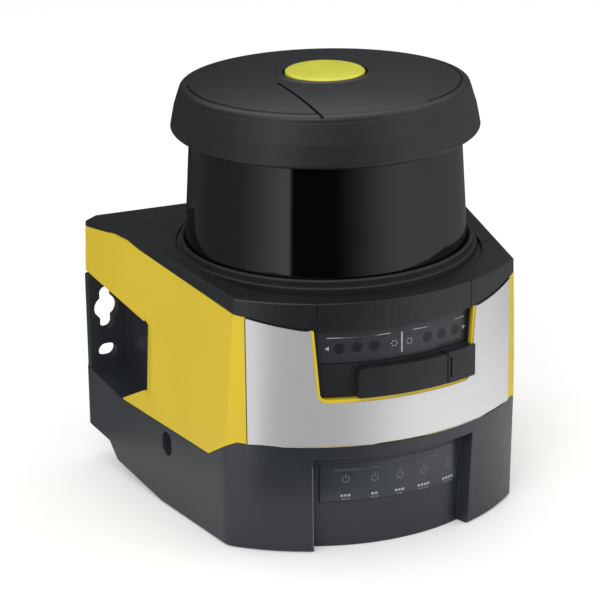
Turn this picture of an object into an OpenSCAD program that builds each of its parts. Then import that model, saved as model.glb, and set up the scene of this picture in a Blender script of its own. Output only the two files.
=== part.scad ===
// Safety laser scanner: a scanner unit with a rotating mirror under a dark window,
// set on an L-shaped connection unit that holds the plugs and is bolted to a wall.
// Millimetres. Z is up and is the scan axis, the front faces -Y, the base is at Z = 0.

/* [Body plan] */
// Width across the back
body_w = 140; // [136:1:146]
// Distance from the scan axis back to the mounting face
back_y = 56; // [55:0.5:60]
// Radius of the curved front
front_r = 73; // [72:0.5:75]
// Centre of the curved front, behind the scan axis
front_c = 11; // [10:0.5:12]
// Angle by which each side closes in towards the front
side_a = 10.2; // [9:0.2:11]
// Radius of the upright corners between sides and front
corner_r = 8; // [6:0.5:10]
// Angle by which the scanner unit's sides lean in as they rise
side_lean = 2.4; // [1.8:0.1:2.6]
// Radius of the upright corners at the back
back_r = 2; // [1:0.5:3]
// Wall of the moulded and cast shells
wall = 3; // [2.5:0.1:3.4]

/* [Heights] */
// Top of the connection unit at the front
joint_z = 38.5; // [37:0.5:40]
// Lower edge of the yellow skirt along the sides
skirt_z = 30; // [28:0.5:31]
// Deck of the top cover at the back
deck_z = 90.3; // [90:0.1:92]
// Slope of the deck, falling towards the front, in degrees
deck_a = 1.15; // [0.8:0.05:1.4]
// Height of the window between its ring and the cap
window_h = 37.6; // [34:0.2:40]
// Height of the cap from its lip to its rim
cap_h = 15.4; // [14:0.2:17]

/* [Head] */
// Window radius at its foot
window_r0 = 48; // [47:0.2:48.4]
// How much narrower the window is under the cap
window_taper = 2.2; // [1.6:0.1:3]
// Window wall
window_t = 2.4; // [2:0.1:3]
// How far the cap's lip stands out from the window
cap_over = 6.3; // [5.7:0.1:7.2]
// How far the cap's rim stands out from the window
rim_over = 3.1; // [2.2:0.1:3.7]
// Wall of the cap
cap_t = 2.6; // [2:0.1:3]
// Rise of the dome from the rim to the disc
dome_h = 3.2; // [2.6:0.1:3.6]
// Radius of the coloured disc
disc_r = 13.4; // [12:0.2:15]
// How far the disc stands proud of the dome
disc_h = 1.4; // [1:0.1:2]
// Place of the straight groove from the disc to the cap's front rim
step_x = -19.6; // [-22:0.1:-16]
// Width of the groove
groove_w = 1; // [0.6:0.1:1.4]
// Angle by which the cap's top falls towards the back
cap_tilt = 1.6; // [1:0.1:2]
// Width of the stepped ring around the window foot
collar_w = 3.3; // [3:0.1:4]
// Depth of the crescent in the deck in front of the ring
crescent_d = 1.3; // [1:0.1:1.5]

/* [Side cut-outs] */
// Depth of the cut-outs, from the mounting face forward to their front edge
pocket_d = 42; // [38:0.5:44]
// Height of the cut-out's front edge where it meets the arm
pocket_z = 63.2; // [61:0.2:65]
// Angle by which the arm's underside climbs towards the back
arm_a = 9; // [7:0.5:10]
// Width of the mounting ears
ear_w = 13.5; // [12:0.5:15]
// Thickness of the mounting ears
ear_t = 4; // [3:0.5:5]
// Angle of the floor of the cut-outs
pocket_a = 10; // [8:0.5:11]

/* [Fastening holes] */
// Screw size of the mounting holes
screw_d = 5.4; // [5:0.1:5.8]
// Diameter of the keyholes' heads
key_d = 8.8; // [8.4:0.1:9.2]
// Height of the keyholes over both lobes
key_h = 16; // [14:0.5:18]
// Height of the keyhole centres
key_z = 56; // [55:0.5:57]
// Height of the lower slots
slot_z = 39.9; // [39.5:0.1:41]
// Length of the lower slots
slot_l = 6.6; // [6:0.1:7.5]
// Distance between the left and right holes
hole_pitch = 125.4; // [124:0.2:127]
// Diameter of the lock screws' heads
lock_d = 5.7; // [5.2:0.1:6]
// Height of the oval mouths in front of the lock screws
lock_h = 8.6; // [7.6:0.2:9.4]
// Height of the lock screws
lock_z = 23.8; // [22:0.2:25]
// Place of the lock screws along the sides
lock_y = -0.6; // [-3:0.2:2]

/* [Display] */
// Half angle of the display opening at its top
open_a = 22.9; // [22:0.1:23.5]
// Half angle of the display opening at its foot
open_b = 21.3; // [20.5:0.1:22]
// Radius of the opening's lower corners
open_r = 2.2; // [1.6:0.1:3]
// Foot of the display opening
open_z = 55; // [54:0.2:57]
// Foot of the smoked display window
glass_z = 66.6; // [66:0.1:68]
// Top of the smoked display window
glass_top = 78; // [77:0.1:78.4]
// Width of the yellow edge left bare around the opening
edge_w = 1.1; // [0.8:0.1:1.6]
// Angle of the left end of the USB cover
usb_a0 = -11.9; // [-13:0.1:-11]
// Angle of the seam at the USB cover's hinge
usb_a1 = 13.3; // [12.5:0.1:14]
// Angle of the right end of the hinge block
usb_a2 = 22.6; // [22.2:0.1:23]
// How far the USB cover stands out of the front
usb_out = 1.4; // [1:0.1:1.8]
// Half angle of the silver film
film_a = 40.3; // [38:0.1:41]
// Thickness of the silver film
film_t = 0.35; // [0.2:0.05:0.5]

/* [Lower front panel] */
// Half angle of the recess in the connection unit's front
panel_a = 23.4; // [22.5:0.1:24.5]
// Top of the recess
panel_z = 34; // [33:0.2:35]
// Depth of the recess
panel_d = 4.6; // [4:0.1:5.4]
// Draft of the connection unit's front, from top to base
base_draft = 2.4; // [1.5:0.1:3]
// Foot of the lamp window
lamp_z0 = 16.6; // [15:0.2:18]
// Top of the lamp window
lamp_z1 = 30.4; // [29:0.2:31]
// Number of signal lamps
lamp_n = 5; // [3:1:6]

/* [Scan drive] */
// Shaft radius
shaft_r = 3; // [2.6:0.1:3.2]
// Length of the mirror plate
mirror_l = 42; // [38:0.5:43]
// Width of the mirror plate
mirror_w = 40; // [36:0.5:42]
// Radius of the receiving lens
lens_r = 22; // [20:0.5:23]
// Radius of the transmitter tube
tube_r = 4.8; // [4:0.1:5.2]

/* [Plugs] */
// Thread diameter of the round plugs
plug_d = 12; // [11.8:0.1:12.2]
// Distance between the plugs
plug_pitch = 30; // [26:0.5:34]
// Underside of the raised rear at the sides
rear_z = 12; // [11.5:0.1:13]
// Roof of the recess around the plugs
plug_z = 26; // [22:0.5:27]

/* [Hidden] */
$fn = 96;

fit = 0.3;              // clearance between pieces that slip together
seam = 0.2;             // open line between shells
far = 200;              // longer than the object, for cutting tools
touch = 0.02;           // gap of pressed and glued round faces
run = 0.04;             // running clearance of the shaft
swing = 0.15;           // clearance of the USB cover's swinging end

window_z = deck_z + 1.1;                 // foot of the visible window
collar_r = window_r0 + collar_w;         // outer radius of the ring around it
window_r1 = window_r0 - window_taper;
cap_r = window_r1 + cap_over;            // widest radius of the cap, at its lip
rim_r = window_r1 + rim_over;
lip_z = window_z + window_h;             // lower edge of the cap
rim_z = lip_z + cap_h;                   // rim of the cap
dome_z = rim_z + dome_h;                 // top of the dome
deck_front_z = deck_z - (back_y + front_r - front_c) * tan(deck_a);
shell_knee_z = deck_z - 1.9;             // shell's top edge along the sides
shell_back_z = deck_z - 4.6;
shell_corner_z = deck_z - 7.2;
shell_front_z = deck_z - 11.3;           // shell's top edge over the display
front_y = front_c - front_r;             // foremost point of the body
corner_y = front_y + 21;                 // where the side meets the curved front
pocket_y = back_y - pocket_d;            // front edge of the side cut-outs
tail_y = pocket_y + 15;                  // tip of the skirt's tail
ledge_z = skirt_z + 8.2;                 // where the tail meets the cut-out's front edge
floor_z = joint_z + fit;                 // underside of the scanner unit's floor
spine_w = body_w - 2 * ear_w - 3;        // width of the upright part between the ears
plate_t = 2.5;
board_t = 1.6;

// ---- plan of the body -------------------------------------------------------

// Points of an arc about c, from angle a to angle b
function arc(c, r, a, b, n) = [for (i = [0 : n]) let (t = a + (b - a) * i / n) c + r * [cos(t), sin(t)]];

// Half width of a side line that lies d inside the outline, at place y
function side_x(y, d = 0) = body_w / 2 - d / cos(side_a) - (back_y - y) * tan(side_a);

// Centre of the corner rounding, tangent to the side line and to the curved front
function corner_c(d, r) = let (
        m = side_x(0, d + r), t = tan(side_a), rho = front_r - d - r,
        qa = 1 + t * t, qb = 2 * (m * t - front_c), qc = m * m + front_c * front_c - rho * rho,
        y = (-qb - sqrt(qb * qb - 4 * qa * qc)) / (2 * qa)
    ) [m + t * y, y];

// Outline at an inset of d from the outer faces, the front drawn in by a further df
function plan(d = 0, df = 0) = let (
        r = max(corner_r - d, 0.6), rb = max(back_r - d, 0.6),
        c = corner_c(d, r), cb = [side_x(back_y - d - rb, d + rb), back_y - d - rb],
        e = atan2(c.y - front_c, c.x), k = (front_r - d - df) / (front_r - d)
    ) concat(
        [for (p = arc([0, front_c], front_r - d, -180 - e, e, 40)) [p.x, front_c + (p.y - front_c) * k]],
        [for (p = arc(c, r, e, -side_a, 5)) [p.x, front_c + (p.y - front_c) * k]],
        arc(cb, rb, -side_a, 90, 4),
        arc([-cb.x, cb.y], rb, 90, 180 + side_a, 4),
        [for (p = arc([-c.x, c.y], r, 180 + side_a, 180 - e, 5)) [p.x, front_c + (p.y - front_c) * k]]
    );

module body_prism(d, z0, z1) {
    translate([0, 0, z0]) linear_extrude(height = z1 - z0) polygon(plan(d));
}

// How far the scanner unit's sides have leaned in at height z
function lean(z) = (z - joint_z) * tan(side_lean);

// All that lies outside the leaning sides at an inset of d, bevelled inwards above bend_z
module beyond_sides(d, bend_z = far, slope = 0) {
    top_z = bend_z + 5;
    at_sides() translate([side_x(0, d), 0, 0]) rotate([90, 0, -side_a])
        linear_extrude(height = 2 * far, center = true) polygon([
            [-lean(joint_z - 6), joint_z - 6], [-lean(bend_z), bend_z],
            [-lean(bend_z) - 5 * slope, top_z], [far, top_z], [far, joint_z - 6]]);
}

module leaning_prism(d, z0, z1) {
    difference() {
        body_prism(d, z0, z1);
        beyond_sides(d);
    }
}

// Slab with a side view given as [y, z] points, w wide about the middle plane
module side_slab(pts, w = far) {
    rotate([90, 0, 90]) linear_extrude(height = w, center = true) polygon(pts);
}

// Everything between two angles about the centre of the curved front, 0 straight ahead
module front_wedge(a0, a1, z0, z1) {
    translate([0, front_c, z0]) linear_extrude(height = z1 - z0) polygon([
        [0, 0], [far * sin(a0), -far * cos(a0)], [far * sin(a1), -far * cos(a1)]]);
}

module tube(r_out, r_in, z0, z1) {
    difference() {
        translate([0, 0, z0]) cylinder(r = r_out, h = z1 - z0);
        translate([0, 0, z0 - 1]) cylinder(r = r_in, h = z1 - z0 + 2);
    }
}

// Curved strip concentric with the front
module front_strip(r_out, r_in, a0, a1, z0, z1) {
    intersection() {
        translate([0, front_c, 0]) tube(r_out, r_in, z0, z1);
        front_wedge(a0, a1, z0 - 1, z1 + 1);
    }
}

// Place something at an angle on the front, with -Y pointing outwards
module on_front(a, r) {
    translate([r * sin(a), front_c - r * cos(a), 0]) rotate([0, 0, a]) children();
}

module at_sides() {
    for (s = [0, 1]) mirror([s, 0, 0]) children();
}

// ---- side views -------------------------------------------------------------

// Line between the coloured shell and the top cover, from front to back
split = [[front_y - 5, shell_front_z - 1.6], [front_y + 7, shell_front_z],
    [corner_y - 4, shell_corner_z - 0.8], [corner_y, shell_corner_z],
    [corner_y + 15, shell_corner_z + 1.2], [back_y - 28, shell_knee_z],
    [back_y - 19, shell_knee_z - 0.1], [back_y - 9, shell_knee_z - 1.4], [back_y + 5, shell_back_z - 0.4]];

function raised(pts, dz) = [for (p = pts) [p.x, p.y + dz]];

function deck_at(y) = deck_z - (back_y - y) * tan(deck_a);

// Everything above a plane that lies d below the deck
module above_deck(d) {
    side_slab([[-far, deck_at(-far) - d], [far, deck_at(far) - d], [far, far], [-far, far]]);
}

// Side cut-out, seen from the side
pocket = [[pocket_y, pocket_z], [back_y + 5, pocket_z + (pocket_d + 5) * tan(arm_a)],
    [back_y + 5, skirt_z - 20], [tail_y, skirt_z - 20], [tail_y, skirt_z + 0.6], [pocket_y + 0.5, ledge_z]];

// Lower edge of the skirt, with the V near the front corner
skirt_edge = [[front_y - 5, joint_z], [corner_y - 1, joint_z], [corner_y + 13, skirt_z], [tail_y, skirt_z]];

// ---- head -------------------------------------------------------------------

lip_in = cap_r - 1.5;
gap_r = disc_r + 1;             // outer wall of the open ring around the disc
plate_r = rim_r - 3.1;          // fine grooves inside the rim
groove_y = -6;                  // where the straight groove starts, beside the disc
waist_r = (cap_r + rim_r) / 2 + 0.35;
waist_z = lip_z + cap_h * 0.52;
flare = (waist_r - rim_r) / (rim_z - 1.2 - waist_z);    // widening of the skirt for each millimetre down

// Radius of the skirt's upper part at height z
function skirt_r(z) = rim_r + (rim_z - 1.2 - z) * flare;

// Height of the dome over the rim
function dome_at(r) = dome_h * (1 - pow((r - disc_r) / (rim_r - disc_r), 2));

// Frame of the cap's top, which falls towards the back
module on_top() {
    translate([0, rim_r * flare * tan(cap_tilt), rim_z]) rotate([-cap_tilt, 0, 0]) children();
}

lid_t = 4;                      // depth of the lid under the rim
lid_seam = 1.9;                 // depth under the rim where lid and skirt meet
rim_round = 2;                  // radius of the lid's rounded rim
groove_deep = 1.1;              // depth of the straight groove
fine_w = 0.6;                   // width of the fine grooves
fine_deep = 0.2;                // their depth under the rim
fine_front = 14;                // how far the left one reaches behind the axis
fine_turn = 66;                 // where the right one starts, clockwise from the right
above = 10;                     // height of cuts that open upward

// Lid with the dome, the low collar around the disc and the grooves
module lid() {
    difference() {
        rotate_extrude() polygon(concat(
            [[0, -lid_t], [rim_r - 0.6, -lid_t], [skirt_r(rim_z - lid_seam) - 0.15, -lid_seam]],
            arc([rim_r - rim_round, -1.6], rim_round, 12, 78, 6),
            [for (i = [0 : 6]) let (r = rim_r - 2.6 + (gap_r + 4.7 - rim_r) * i / 6) [r, dome_at(r)]],
            [[gap_r + 1.2, dome_at(disc_r) + 0.35], [0, dome_at(disc_r) + 0.35]]));
        // straight groove, with a notch where it leaves through the rim
        translate([step_x, 0, 0]) side_slab([
            [groove_y, above], [groove_y, dome_at(-step_x) - groove_deep],
            [step_x - 24, -0.6], [-far, -0.6], [-far, above]], groove_w);
        // fine grooves inside the rim on the left and on the right
        intersection() {
            tube(plate_r + fine_w / 2, plate_r - fine_w / 2, -fine_deep, above);
            union() {
                translate([step_x - far, -far, -1]) cube([far, far + fine_front, above + 2]);
                rotate([0, 0, -fine_turn]) translate([0, 0, -1]) cube([far, far, above + 2]);
            }
        }
    }
}

module cap() {
    color("#3c3e42") difference() {
        union() {
            difference() {
                rotate_extrude() polygon(concat(
                    [[0, lip_z + 1], [window_r1 + fit, lip_z + 1], [lip_in, lip_z]],
                    arc([cap_r - 1.2, lip_z + 1.6], 1.2, -60, -5, 5),
                    [[waist_r, waist_z], [skirt_r(rim_z + 2), rim_z + 2], [0, rim_z + 2]]));
                on_top() translate([-far, -far, -lid_seam]) cube([2 * far, 2 * far, far]);
            }
            on_top() lid();
        }
        rotate_extrude() polygon([
            [0, lip_z - 1], [window_r1 + fit, lip_z - 1], [window_r1 + fit, lip_z + 4.6],
            [rim_r - 3.4, lip_z + 6], [rim_r - 6, rim_z - cap_t],
            [disc_r, disc_z - cap_t], [0, disc_z - cap_t]]);
        translate([0, 0, disc_z]) cylinder(r = gap_r, h = above);
    }
}
disc_z = dome_z - 1.6;          // seat of the disc

module cap_disc() {
    color("#d8d23a") translate([0, 0, disc_z]) rotate_extrude() polygon(concat(
        [[0, 0], [disc_r, 0], [disc_r, 1.6 + disc_h - 0.9]],
        [for (i = [0 : 5])
            [disc_r * cos(i * 18) - 0.4 * (1 - i / 5), 1.6 + disc_h - 0.6 + 0.6 * sin(i * 18)]]));
}

module cap_gasket() {
    color("#1c1d1f") tube(window_r1 - 0.2, window_r1 - window_t + 0.2, lip_z + 4, lip_z + 4.6);
}

module window() {
    color("#0c0c0e") rotate_extrude() polygon([
        [window_r0 - window_t, window_z - 1], [window_r0 + 0.05, window_z - 1],
        [window_r0, window_z], [window_r1, lip_z + 1], [window_r1, lip_z + 4],
        [window_r1 - window_t, lip_z + 4]]);
}

module window_gasket() {
    color("#1c1d1f") tube(window_r0 - 0.2, window_r0 - window_t + 0.2, window_z - 1.8, window_z - 1);
}

module window_ring() {
    z0 = deck_front_z;
    seat_z = z0 - 1.5;
    low_r = collar_r;
    top_r = collar_r - 1.3;
    color("#3a3c40") difference() {
        rotate_extrude() polygon([
            [window_r0 + fit, seat_z], [low_r, seat_z], [low_r, ring_step_z - 0.4],
            [low_r - 0.4, ring_step_z], [top_r, ring_step_z],
            [top_r, window_z - 0.5], [top_r - 0.5, window_z],
            [window_r0 + fit + 0.6, window_z], [window_r0 + fit, window_z - 0.6]]);
        // the ring's foot follows the sloping deck, down to the floor of the crescent
        side_slab([[-far, -far], [far, -far],
            [far, deck_at(far) - crescent_d], [-far, deck_at(-far) - crescent_d]]);
    }
}
ring_step_z = window_z - 2.2;   // step half way up the ring

// ---- scanner unit shells ----------------------------------------------------

// Half width of the display opening at height z
function open_x(z) =
    front_r * (sin(open_b) + (sin(open_a) - sin(open_b)) * (z - open_z) / (shell_front_z - open_z));

open_lean = atan((open_x(far) - open_x(0)) / far);

// Front view of the opening, grown by g: it narrows towards its foot, with rounded lower corners
function opening(g) = let (
        r = max(open_r + g, 0.4), cz = open_z - g + r,
        cx = open_x(cz) + (g - r) / cos(open_lean), tx = open_x(far) + g / cos(open_lean)
    ) concat(
        arc([cx, cz], r, -90, -open_lean, 6),
        [[tx, far], [-tx, far]],
        arc([-cx, cz], r, 180 + open_lean, 270, 6)
    );

// The opening between two radii about the centre of the front
module display_opening(grow, r0, r1) {
    intersection() {
        translate([0, front_c, 0]) tube(r1, r0, 0, far);
        rotate([90, 0, 0]) linear_extrude(height = far) polygon(opening(grow));
    }
}

module housing() {
    color("#d2b83a") difference() {
        intersection() {
            leaning_prism(0, skirt_z, deck_z);
            side_slab(concat(split, [[back_y + 5, 0], [tail_y, 0]], [for (i = [3 : -1 : 0]) skirt_edge[i]]));
        }
        difference() {
            leaning_prism(wall, skirt_z - 1, deck_z + 1);
            // rear wall and arm floor, which close the shell towards the connection unit
            side_slab(closed_back);
        }
        side_slab(pocket);
        at_sides() housing_bevel();
        display_opening(0, front_r - wall - 1, front_r + 1);
    }
}

closed_back = [[pocket_y - wall, joint_z], [pocket_y - wall, pocket_z + wall], [back_y, arm_floor(back_y)],
    [back_y + 5, arm_floor(back_y)], [back_y + 5, joint_z]];

// Inner height of the arm's floor at place y
function arm_floor(y) = pocket_z + (y - pocket_y) * tan(arm_a) + wall / cos(arm_a);

// Shallow bevel where the shell turns in to the cut-out
module housing_bevel() {
    h = pocket_z - skirt_z - 6;
    translate([side_x(0), 0, joint_z]) rotate([0, 0, -side_a]) rotate([0, -side_lean, 0])
        rotate([0, 0, side_a]) translate([-side_x(0), 0, -joint_z]) hull() {
            translate([side_x(pocket_y - 4.6), pocket_y - 4.6, skirt_z + 4.4]) cube([4, 0.01, h]);
            translate([side_x(pocket_y) - 1.3, pocket_y + 0.6, skirt_z + 7.5]) cube([4, 0.01, h]);
        }
}

module front_film() {
    color("#c9cacc") difference() {
        intersection() {
            front_strip(front_r + film_t, front_r + touch, -film_a, film_a, joint_z + 0.4, deck_z);
            side_slab(concat(raised(split, -0.1), [[back_y, 0], [front_y - 5, 0]]));
        }
        display_opening(edge_w, front_r - 1, front_r + 2);
    }
}

visor_a = 22.1;                 // half angle of the visor
visor_d = 3.2;                  // depth of the visor, from the front in
deck_t = 2.8;                   // thickness of the deck
crescent_r = window_r0 + 1;
crescent_y = front_y + visor_d + 0.3 + crescent_r;

module cover_blank() {
    difference() {
        hull() {
            body_prism(0, shell_front_z - 8, deck_z - 2.5);
            body_prism(visor_d, deck_z - 2.5, deck_z + 0.5);
        }
        beyond_sides(0, deck_z - 2.5, visor_d / 3);
    }
}

// Cover with the line to the shell and the sloping deck, hollow and open at the bottom
module cover_shell() {
    difference() {
        intersection() {
            cover_blank();
            side_slab(concat(raised(split, seam),
                [[back_y + 5, deck_at(back_y + 5)], [front_y - 5, deck_at(front_y - 5)]]));
        }
        intersection() {
            leaning_prism(wall, 0, deck_z);
            side_slab([[-far, 0], [far, 0], [far, deck_at(far) - deck_t], [-far, deck_at(-far) - deck_t]]);
        }
    }
}

// Place of each groove on the window ring and its heading, in degrees from the right-hand side
deck_grooves = [[-25.5, -25], [-1, -18], [23.5, 19], [48, 24]];

module top_cover() {
    color("#3d4044") difference() {
        cover_shell();
        translate([0, 0, shell_front_z - 5]) cylinder(r = window_r0 + fit, h = 30);
        // seat of the window ring
        translate([0, 0, deck_front_z - 1.5]) cylinder(r = collar_r + touch, h = 20);
        // crescent in front of the ring
        intersection() {
            translate([0, crescent_y, 0]) cylinder(r = crescent_r, h = far);
            above_deck(crescent_d);
        }
        // grooves that run from the ring to the sides
        intersection() {
            leaning_prism(visor_d + 0.4, 0, deck_z + 5);
            above_deck(1);
            for (s = [0, 1]) mirror([s, 0, 0]) for (g = deck_grooves)
                rotate([0, 0, g[0]]) translate([collar_r + 0.9, 0, 0]) rotate([0, 0, g[1] - g[0]])
                    translate([0, -0.35, 0]) cube([far, 0.7, far]);
        }
        // bay of the visor
        visor_bay(visor_a, visor_d);
    }
}

// Band of the front between the seams, d deep
module visor_bay(a, d) {
    front_strip(far, front_r - d, -a, a, 0, far);
}

// Front part of the cover, over the display
module visor() {
    color("#3d4044") intersection() {
        cover_shell();
        visor_bay(visor_a - 0.2, visor_d - 0.05);
    }
}

// ---- display ----------------------------------------------------------------

carrier_r = front_r - 1.6;      // face of the recess around the USB cover
glass_r = front_r - 2.4;        // outer face of the smoked display window
chamber_r = front_r - 9;        // floor of the chamber behind the window
board_half = 22;                // half width of the display board
display_board_y = front_c - sqrt(pow(front_r - 11, 2) - board_half * board_half) + fit;
usb_z0 = open_z + 0.4;
usb_z1 = glass_z - 0.4;
usb_mid = (usb_a0 + usb_a1) / 2;
usb_x = front_r * sin(usb_mid);
pin_r = 0.5;
knuckle_r = 0.9;
pin_at = front_r + usb_out - knuckle_r;     // distance of the hinge pin from the front's centre
knuckle_a = asin(knuckle_r / pin_at);
pin_a = usb_a1 + knuckle_a / 2;
leaf_a = pin_a - asin((knuckle_r + swing) / pin_at);    // right end of the cover
knuckle_z0 = usb_z0 + 2;
knuckle_z1 = usb_z1 - 2;
hinge_clear = norm([knuckle_r + swing, pin_r]) + swing; // swept by the knuckle's web

module display_carrier() {
    color("#2b2d31") difference() {
        union() {
            intersection() {
                translate([0, front_c, 0]) tube(carrier_r, front_r - 11, open_z + fit, shell_front_z - 1.2);
                display_opening(-fit, 10, far);
            }
            hinge_block();
        }
        // rebate for the smoked window, and the chamber behind it
        display_glass(0.1);
        front_strip(carrier_r + 1, chamber_r, -open_b + 3, open_b - 3, glass_z + 1.2, glass_top - 1.2);
        // bay behind the USB cover
        front_strip(carrier_r + 1, front_r - 6.5, usb_a0 + 1.5, usb_a1 - 2, usb_z0 + 1, usb_z1 - 1);
        translate([usb_x - 5, front_y - 5, usb_z0 + 2.4]) cube([10, 30, 6.2]);
        at_pin() translate([0, 0, knuckle_z0 - 0.1])
            cylinder(r = hinge_clear, h = knuckle_z1 - knuckle_z0 + 0.2);
        at_pin() translate([0, 0, usb_z0 + 0.3]) cylinder(r = pin_r + touch, h = usb_z1 - usb_z0 - 0.6);
    }
}

// Block at the right end that stands out of the front, with a round end about the hinge pin
module hinge_block() {
    p = on_arc(pin_a, pin_at);
    a0 = pin_a - knuckle_a;
    difference() {
        translate([0, 0, usb_z0]) linear_extrude(height = usb_z1 - usb_z0) polygon(concat(
            [for (t = [0 : 15 : 75]) p - knuckle_r * [cos(pin_a + t), sin(pin_a + t)]],
            [for (i = [0 : 8]) on_arc(pin_a + (usb_a2 - pin_a) * i / 8, front_r + usb_out)],
            [for (i = [4 : -1 : 0]) on_arc(a0 + (usb_a2 - a0) * i / 4, carrier_r - 2)]));
        display_rim_clear();
    }
}

// Point of the plan at an angle on the front
function on_arc(a, r) = [r * sin(a), front_c - r * cos(a)];

module at_pin() {
    on_front(pin_a, pin_at) children();
}

// Room for the shell's edge behind the overhanging end of the hinge block
module display_rim_clear() {
    difference() {
        front_strip(front_r + film_t + 0.2, 40, usb_a1 + 3, 40, 0, far);
        display_opening(-fit, 10, far);
    }
}

module display_window() {
    color([0.1, 0.1, 0.12, 0.8]) display_glass(0);
}

// Curved pane over the lamps and symbols, grown by d
module display_glass(d) {
    intersection() {
        translate([0, front_c, 0])
            tube(glass_r + 2 * d * far, glass_r - 1.3 - d, glass_z + 0.1 - d, glass_top - 0.1 + d);
        display_opening(-1.1 + d, 10, far);
    }
}

module display_module() {
    color("#202226") for (s = [-1, 1]) on_front(s * 10, chamber_r + 2.25)
        translate([-8, 0, glass_z + 1.6]) cube([16, 2.2, 8]);
}

module display_lamps() {
    color("#d8dadc") for (s = [-1, 1], k = [0 : 2]) on_front(s * (5.6 + 4.2 * k), chamber_r + 2.6)
        translate([0, 0, glass_z + 5.6]) rotate([90, 0, 0]) cylinder(r = 1.1, h = 1.8);
}

module display_board() {
    color("#1f5a3c") translate([-board_half, display_board_y, open_z + 1])
        cube([2 * board_half, board_t, shell_front_z - open_z - 4]);
}

// Hinged cover over the USB socket, with a sealing plug behind it
module usb_cover() {
    z0 = usb_z0 + 0.1;
    z1 = usb_z1 - 0.5;
    web_a = pin_a - asin((knuckle_r + pin_r) / 2 / pin_at);
    color("#26282b") {
        difference() {
            union() {
                intersection() {
                    front_strip(front_r + usb_out, front_r - 1.4, usb_a0 - 3, leaf_a, z0, z1 + 1);
                    usb_outline(z0 - 1, z1);
                }
                front_strip(pin_at + pin_r, pin_at - knuckle_r, leaf_a - 0.5, web_a,
                    knuckle_z0 + 0.1, knuckle_z1 - 0.1);
                at_pin() translate([0, 0, knuckle_z0]) cylinder(r = knuckle_r, h = knuckle_z1 - knuckle_z0);
            }
            at_pin() translate([0, 0, usb_z0]) cylinder(r = pin_r + run, h = usb_z1 - usb_z0);
        }
        // sealing plug
        difference() {
            intersection() {
                on_front(usb_mid, front_r) translate([-4.4, -2, usb_z0 + 3]) cube([8.8, 5.4, 5]);
                translate([0, front_c, 0]) cylinder(r = front_r - 1.3, h = far);
            }
            on_front(usb_mid, front_r) translate([-3.4, 2.2, usb_z0 + 4]) cube([6.8, 5, 3]);
        }
    }
}

// Front view of the USB cover, rounded at the upper corner of its free end
module usb_outline(z0, z1) {
    r = 2.4;
    x0 = front_r * sin(usb_a0);
    rotate([90, 0, 0]) linear_extrude(height = far)
        polygon(concat([[far, z0], [far, z1]], arc([x0 + r, z1 - r], r, 90, 180, 6), [[x0, z0]]));
}

module usb_hinge_pin() {
    color("#b8bbbe") at_pin() translate([0, 0, usb_z0 + 0.4]) cylinder(r = pin_r, h = usb_z1 - usb_z0 - 0.8);
}

module usb_socket() {
    color("#c4c7ca") translate([usb_x, 0, usb_z0 + 5.5]) difference() {
        translate([-4.2, front_y + 4.4, -1.8]) cube([8.4, display_board_y - front_y - 4.4, 3.6]);
        translate([-3.7, front_y + 3, -1.3]) cube([7.4, 8, 2.6]);
    }
    color("#26282b") translate([usb_x - 3, front_y + 6, usb_z0 + 5.1]) cube([6, 6, 0.8]);
}

// ---- scanner unit inside ----------------------------------------------------

board_y0 = display_board_y + board_t + 4;   // front edge of the boards behind the display
board_y1 = pocket_y - wall - 4;
board_w = 2 * side_x(board_y0, wall + 7.4);
board_z0 = floor_z + plate_t + 6;
board_z1 = board_z0 + board_t + 7;
tongue_x = side_x(lock_y) - 18;             // inner face of the lock tongues
tongue_t = 2;
leg_r = 4.6;
leg_in = wall + fit + leg_r + 2;            // from the sides in to the legs
leg_y = [front_y + 35, 2];
leg_xy = [for (s = [-1, 1], y = leg_y) [s * side_x(y, leg_in), y]];
post_xy = [for (s = [-1, 1], y = [board_y0 + 5, 2]) [s * (tongue_x - 11.8), y]];
chassis_z = arm_floor(24) + 10.2;
seat_r = window_r0 - 0.2;
ledge_r = seat_r + 8.2;
rear_leg_y = back_y - 14;
rear_leg_x = side_x(rear_leg_y, leg_in + 9.3);
monitor_z = deck_front_z - 6;
bracket_w = 30;
bracket_t = 4.5;
bracket_y = sqrt(pow(window_r1 - window_t - 2.5, 2) - pow(bracket_w / 2, 2)) - bracket_t;
rotor_r = 24;
cable_w = 12;
cable_x = rotor_r + cable_w / 2 + 2;
cable_y = 3;

module floor_plate() {
    color("#55585c") difference() {
        intersection() {
            body_prism(wall + fit, floor_z, floor_z + plate_t);
            translate([-far / 2, -far, 0]) cube([far, far + pocket_y - wall - fit, far]);
        }
        translate([-14, -12, 0]) cube([28, 12, far]);
        for (p = leg_xy) translate([p.x, p.y, 0]) cylinder(r = 1.8, h = far);
        at_sides() translate([tongue_x - 0.1, lock_y - 6.1, 0]) cube([tongue_t + 0.2, 12.2, far]);
    }
}

module board_spacers() {
    color("#c8cacc") for (p = post_xy) {
        translate([p.x, p.y, floor_z + plate_t]) cylinder(r = 2.6, h = board_z0 - floor_z - plate_t);
        translate([p.x, p.y, board_z0 + board_t]) cylinder(r = 2.6, h = board_z1 - board_z0 - board_t);
    }
}

module circuit_board(w, y0, y1, z) {
    translate([-w / 2, y0, z]) cube([w, y1 - y0, board_t]);
}

module main_board() {
    color("#1f5a3c") difference() {
        circuit_board(board_w, board_y0, board_y1, board_z0);
        for (p = leg_xy) translate([p.x, p.y, 0]) cylinder(r = leg_r + 0.8, h = far);
    }
    color("#24262a") {
        translate([-12, -22, board_z0 + board_t]) cube([20, 20, 2.4]);
        translate([12, board_y0 + 13, board_z0 + board_t]) cube([8, 14, 1.8]);
        translate([10 - board_w / 2, board_y0 + 15, board_z0 + board_t]) cube([7, 12, 3.2]);
    }
}

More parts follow.
